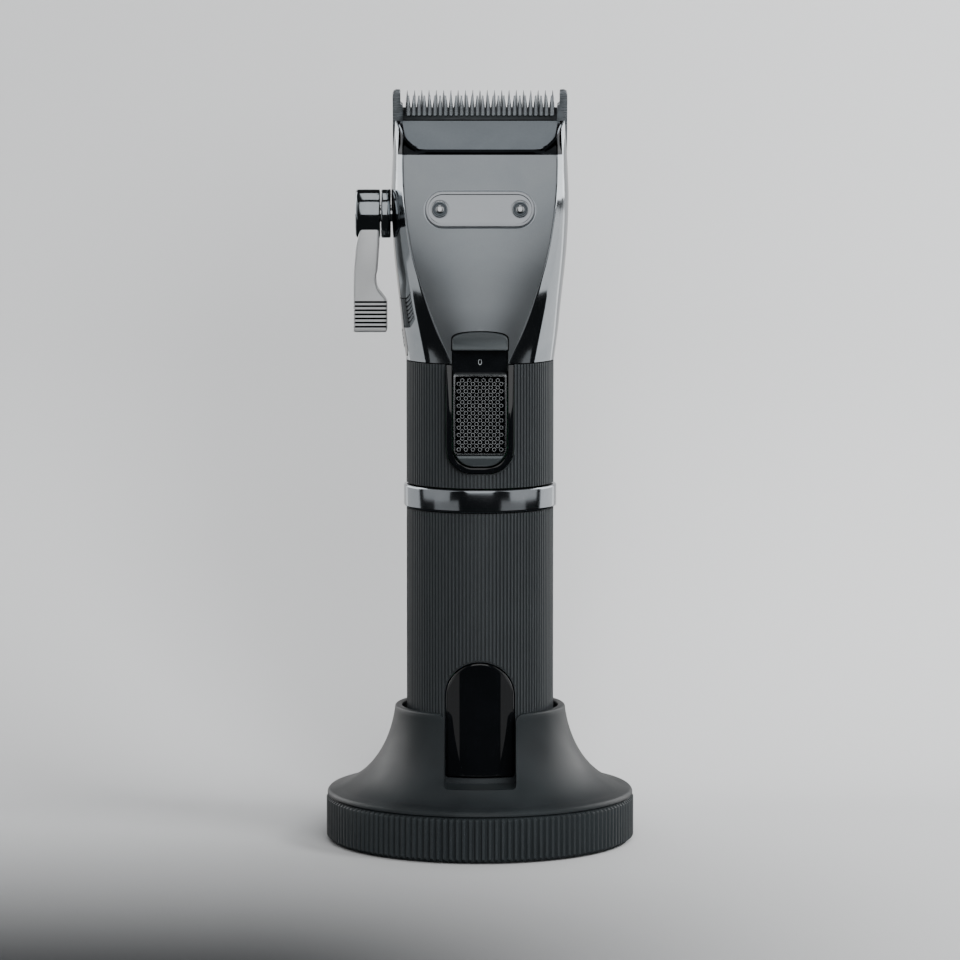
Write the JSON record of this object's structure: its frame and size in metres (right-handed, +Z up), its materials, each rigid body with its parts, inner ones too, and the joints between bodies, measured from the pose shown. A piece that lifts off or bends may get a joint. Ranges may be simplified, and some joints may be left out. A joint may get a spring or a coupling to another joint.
{
  "type": "hair clipper",
  "caption": "Cordless hair clipper with a ribbed round grip, taper lever, slide switch and plated head, standing in a flared charging stand that it lifts out of.",
  "frame": {"origin": "centre of the stand's underside, on the surface it stands on", "axes": "+Z up along the clipper, front (switch, badge and charge display) towards -Y, taper lever on -X"},
  "size_m": [0.082, 0.082, 0.1996],
  "materials": {
    "soft_black": "fine matte moulded plastic",
    "gloss_black": "polished black plastic",
    "grey_plastic": "matte dark grey plastic",
    "dark_chrome": "dark polished plating",
    "gunmetal": "satin gunmetal plating",
    "badge_metal": "fine brushed plate",
    "satin_silver": "satin die-cast lever",
    "blade_steel": "dark ground blade steel",
    "bright_steel": "bright machined steel",
    "ballast_steel": "plain weight ring",
    "gilt_contact": "gilt charging contact",
    "foot_rubber": "soft black rubber",
    "circuit_board": "solder-masked board",
    "battery_wrap": "shrink wrapped cell"
  },
  "bodies": {
    "stand": {"stand_shell": "soft_black", "knurled_rim": "soft_black", "base_plate": "soft_black", "foot_ring": "foot_rubber", "ballast_ring": "ballast_steel", "cup_floor": "soft_black", "charge_board": "circuit_board", "charge_pin_left": "gilt_contact", "charge_pin_right": "gilt_contact", "dc_inlet": "gloss_black", "inlet_pin": "bright_steel", "base_screw_1": "bright_steel", "base_screw_2": "bright_steel", "base_screw_3": "bright_steel"},
    "clipper": {"end_cap": "soft_black", "contact_left": "gilt_contact", "contact_right": "gilt_contact", "lower_grip": "soft_black", "display_window": "gloss_black", "display_board": "circuit_board", "trim_ring": "dark_chrome", "upper_grip": "soft_black", "head_front": "gunmetal", "head_back": "dark_chrome", "badge_plate": "badge_metal", "badge_screw_left": "bright_steel", "badge_screw_right": "bright_steel", "lever_track": "soft_black", "lever_collar": "dark_chrome", "switch_bezel": "gloss_black", "switch_track": "gloss_black", "switch_bridge": "grey_plastic", "chassis": "grey_plastic", "battery_cell": "battery_wrap", "main_board": "circuit_board", "micro_switch": "gloss_black", "motor_cradle": "grey_plastic", "motor_can": "bright_steel", "blade_rail_left": "grey_plastic", "blade_rail_right": "grey_plastic", "cutter_spring": "bright_steel"},
    "switch": {"switch_slider": "grey_plastic", "switch_plate": "bright_steel"},
    "lever": {"taper_lever": "satin_silver", "lever_screw": "bright_steel", "lever_shaft": "bright_steel"},
    "comb": {"comb_blade": "blade_steel", "blade_carrier": "bright_steel", "blade_screw_left": "bright_steel", "blade_screw_right": "bright_steel"},
    "cutter": {"cutter_blade": "blade_steel", "drive_fork": "grey_plastic"},
    "rotor": {"motor_shaft": "bright_steel", "eccentric_cam": "grey_plastic"}
  },
  "joints": [
    {"name": "clipper_lift", "type": "slide", "parent": "stand", "child": "clipper", "axis": [0, 0, 1], "range_m": [0, 0.06]},
    {"name": "power_switch", "type": "slide", "parent": "clipper", "child": "switch", "axis": [0, 0, 1], "range_m": [0, 0.0055]},
    {"name": "taper_lever", "type": "hinge", "parent": "clipper", "child": "lever", "pos_m": [-0.0295, 0, 0.16687], "axis": [1, 0, 0], "range_deg": [0, 40]},
    {"name": "comb_shift", "type": "slide", "parent": "clipper", "child": "comb", "axis": [0, -0.309, 0.9511], "range_m": [-0.0012, 0]},
    {"name": "cutter_stroke", "type": "slide", "parent": "clipper", "child": "cutter", "axis": [1, 0, 0], "range_m": [-0.0012, 0.0012]},
    {"name": "motor_spin", "type": "hinge", "parent": "clipper", "child": "rotor", "pos_m": [0, 0, 0.1514], "axis": [0, 0, 1], "continuous": true}
  ],
  "couplings": [
    {"joint": "comb_shift", "follows": "taper_lever", "m_per_rad": -0.001718}
  ]
}
